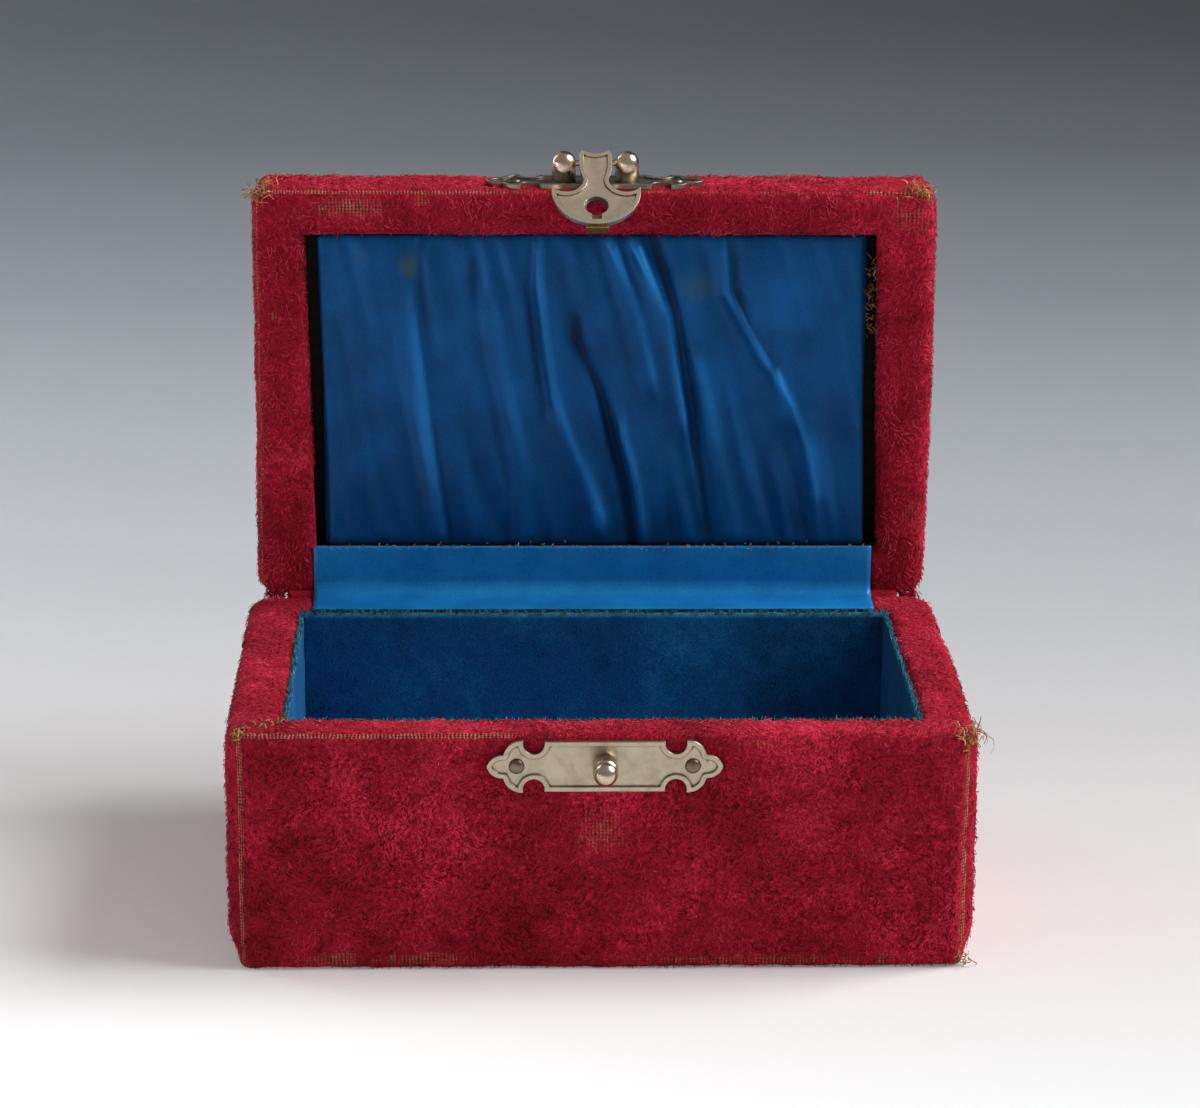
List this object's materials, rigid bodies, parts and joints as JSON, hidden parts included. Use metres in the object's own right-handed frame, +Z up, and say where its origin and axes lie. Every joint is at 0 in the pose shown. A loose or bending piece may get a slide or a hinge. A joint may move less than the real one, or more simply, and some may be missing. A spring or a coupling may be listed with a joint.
{
  "type": "trinket box",
  "caption": "Small hinged keepsake box in worn crimson velvet, with a blue velvet tray, a gathered satin lid pad and a nickel snap catch on its front.",
  "frame": {"origin": "centre of the underside of the base", "axes": "+X right, +Y towards the hinged back, +Z up; the catch faces -Y, the lid stands open behind the base"},
  "size_m": [0.1184, 0.0906, 0.117],
  "materials": {
    "crimson_velvet": "matt pile, worn at the folds",
    "blue_velvet": "short matt pile",
    "blue_satin": "satin weave",
    "pine_board": "sawn, unfinished",
    "wire_brads": "drawn wire",
    "backing_card": "matt strawboard",
    "cotton_wadding": "loose cotton",
    "nickel_sheet": "stamped, nickel-plated, dulled",
    "turned_nickel": "turned, nickel-plated, dulled",
    "dark_pins": "blackened",
    "brass_leaf": "rolled, dulled"
  },
  "bodies": {
    "base": {"bottom_board": "pine_board", "base_front_board": "pine_board", "base_back_board": "pine_board", "base_left_board": "pine_board", "base_right_board": "pine_board", "base_brads": "wire_brads", "base_velvet_front": "crimson_velvet", "base_velvet_back": "crimson_velvet", "base_velvet_left": "crimson_velvet", "base_velvet_right": "crimson_velvet", "underside_card": "backing_card", "lining_front": "blue_velvet", "lining_back": "blue_velvet", "lining_left": "blue_velvet", "lining_right": "blue_velvet", "tray_floor_pad": "blue_velvet", "lower_plate": "nickel_sheet", "lower_plate_pins": "dark_pins", "catch_stud": "turned_nickel", "satin_hinge_strip": "blue_satin", "velvet_hinge": "crimson_velvet"},
    "lid": {"lid_top_board": "pine_board", "lid_front_board": "pine_board", "lid_back_board": "pine_board", "lid_left_board": "pine_board", "lid_right_board": "pine_board", "lid_brads": "wire_brads", "lid_velvet_top": "crimson_velvet", "lid_velvet_front": "crimson_velvet", "lid_velvet_back": "crimson_velvet", "lid_velvet_left": "crimson_velvet", "lid_velvet_right": "crimson_velvet", "lid_pad_card": "backing_card", "lid_pad_wadding": "cotton_wadding", "lid_satin": "blue_satin", "upper_plate": "nickel_sheet", "upper_plate_pins": "dark_pins", "hasp_posts": "turned_nickel"},
    "hasp_pin": {"hasp_pin": "turned_nickel"},
    "hasp": {"hasp": "nickel_sheet", "hasp_leaf": "brass_leaf"}
  },
  "joints": [
    {"name": "lid_hinge", "type": "hinge", "parent": "base", "child": "lid", "pos_m": [0, 0.03575, 0.0397], "axis": [1, 0, 0], "range_deg": [0, 90], "deforming": ["satin_hinge_strip", "velvet_hinge"]},
    {"name": "hasp_hang", "type": "hinge", "parent": "lid", "child": "hasp_pin", "pos_m": [0, 0.04105, 0.1149], "axis": [-1, 0, 0], "range_deg": [0, 36.3]},
    {"name": "hasp_hinge", "type": "hinge", "parent": "hasp_pin", "child": "hasp", "pos_m": [0, 0.04105, 0.1149], "axis": [-1, 0, 0], "range_deg": [0, 170]}
  ],
  "couplings": [
    {"joint": "hasp_hang", "follows": "lid_hinge", "ratio": 0.4033}
  ]
}
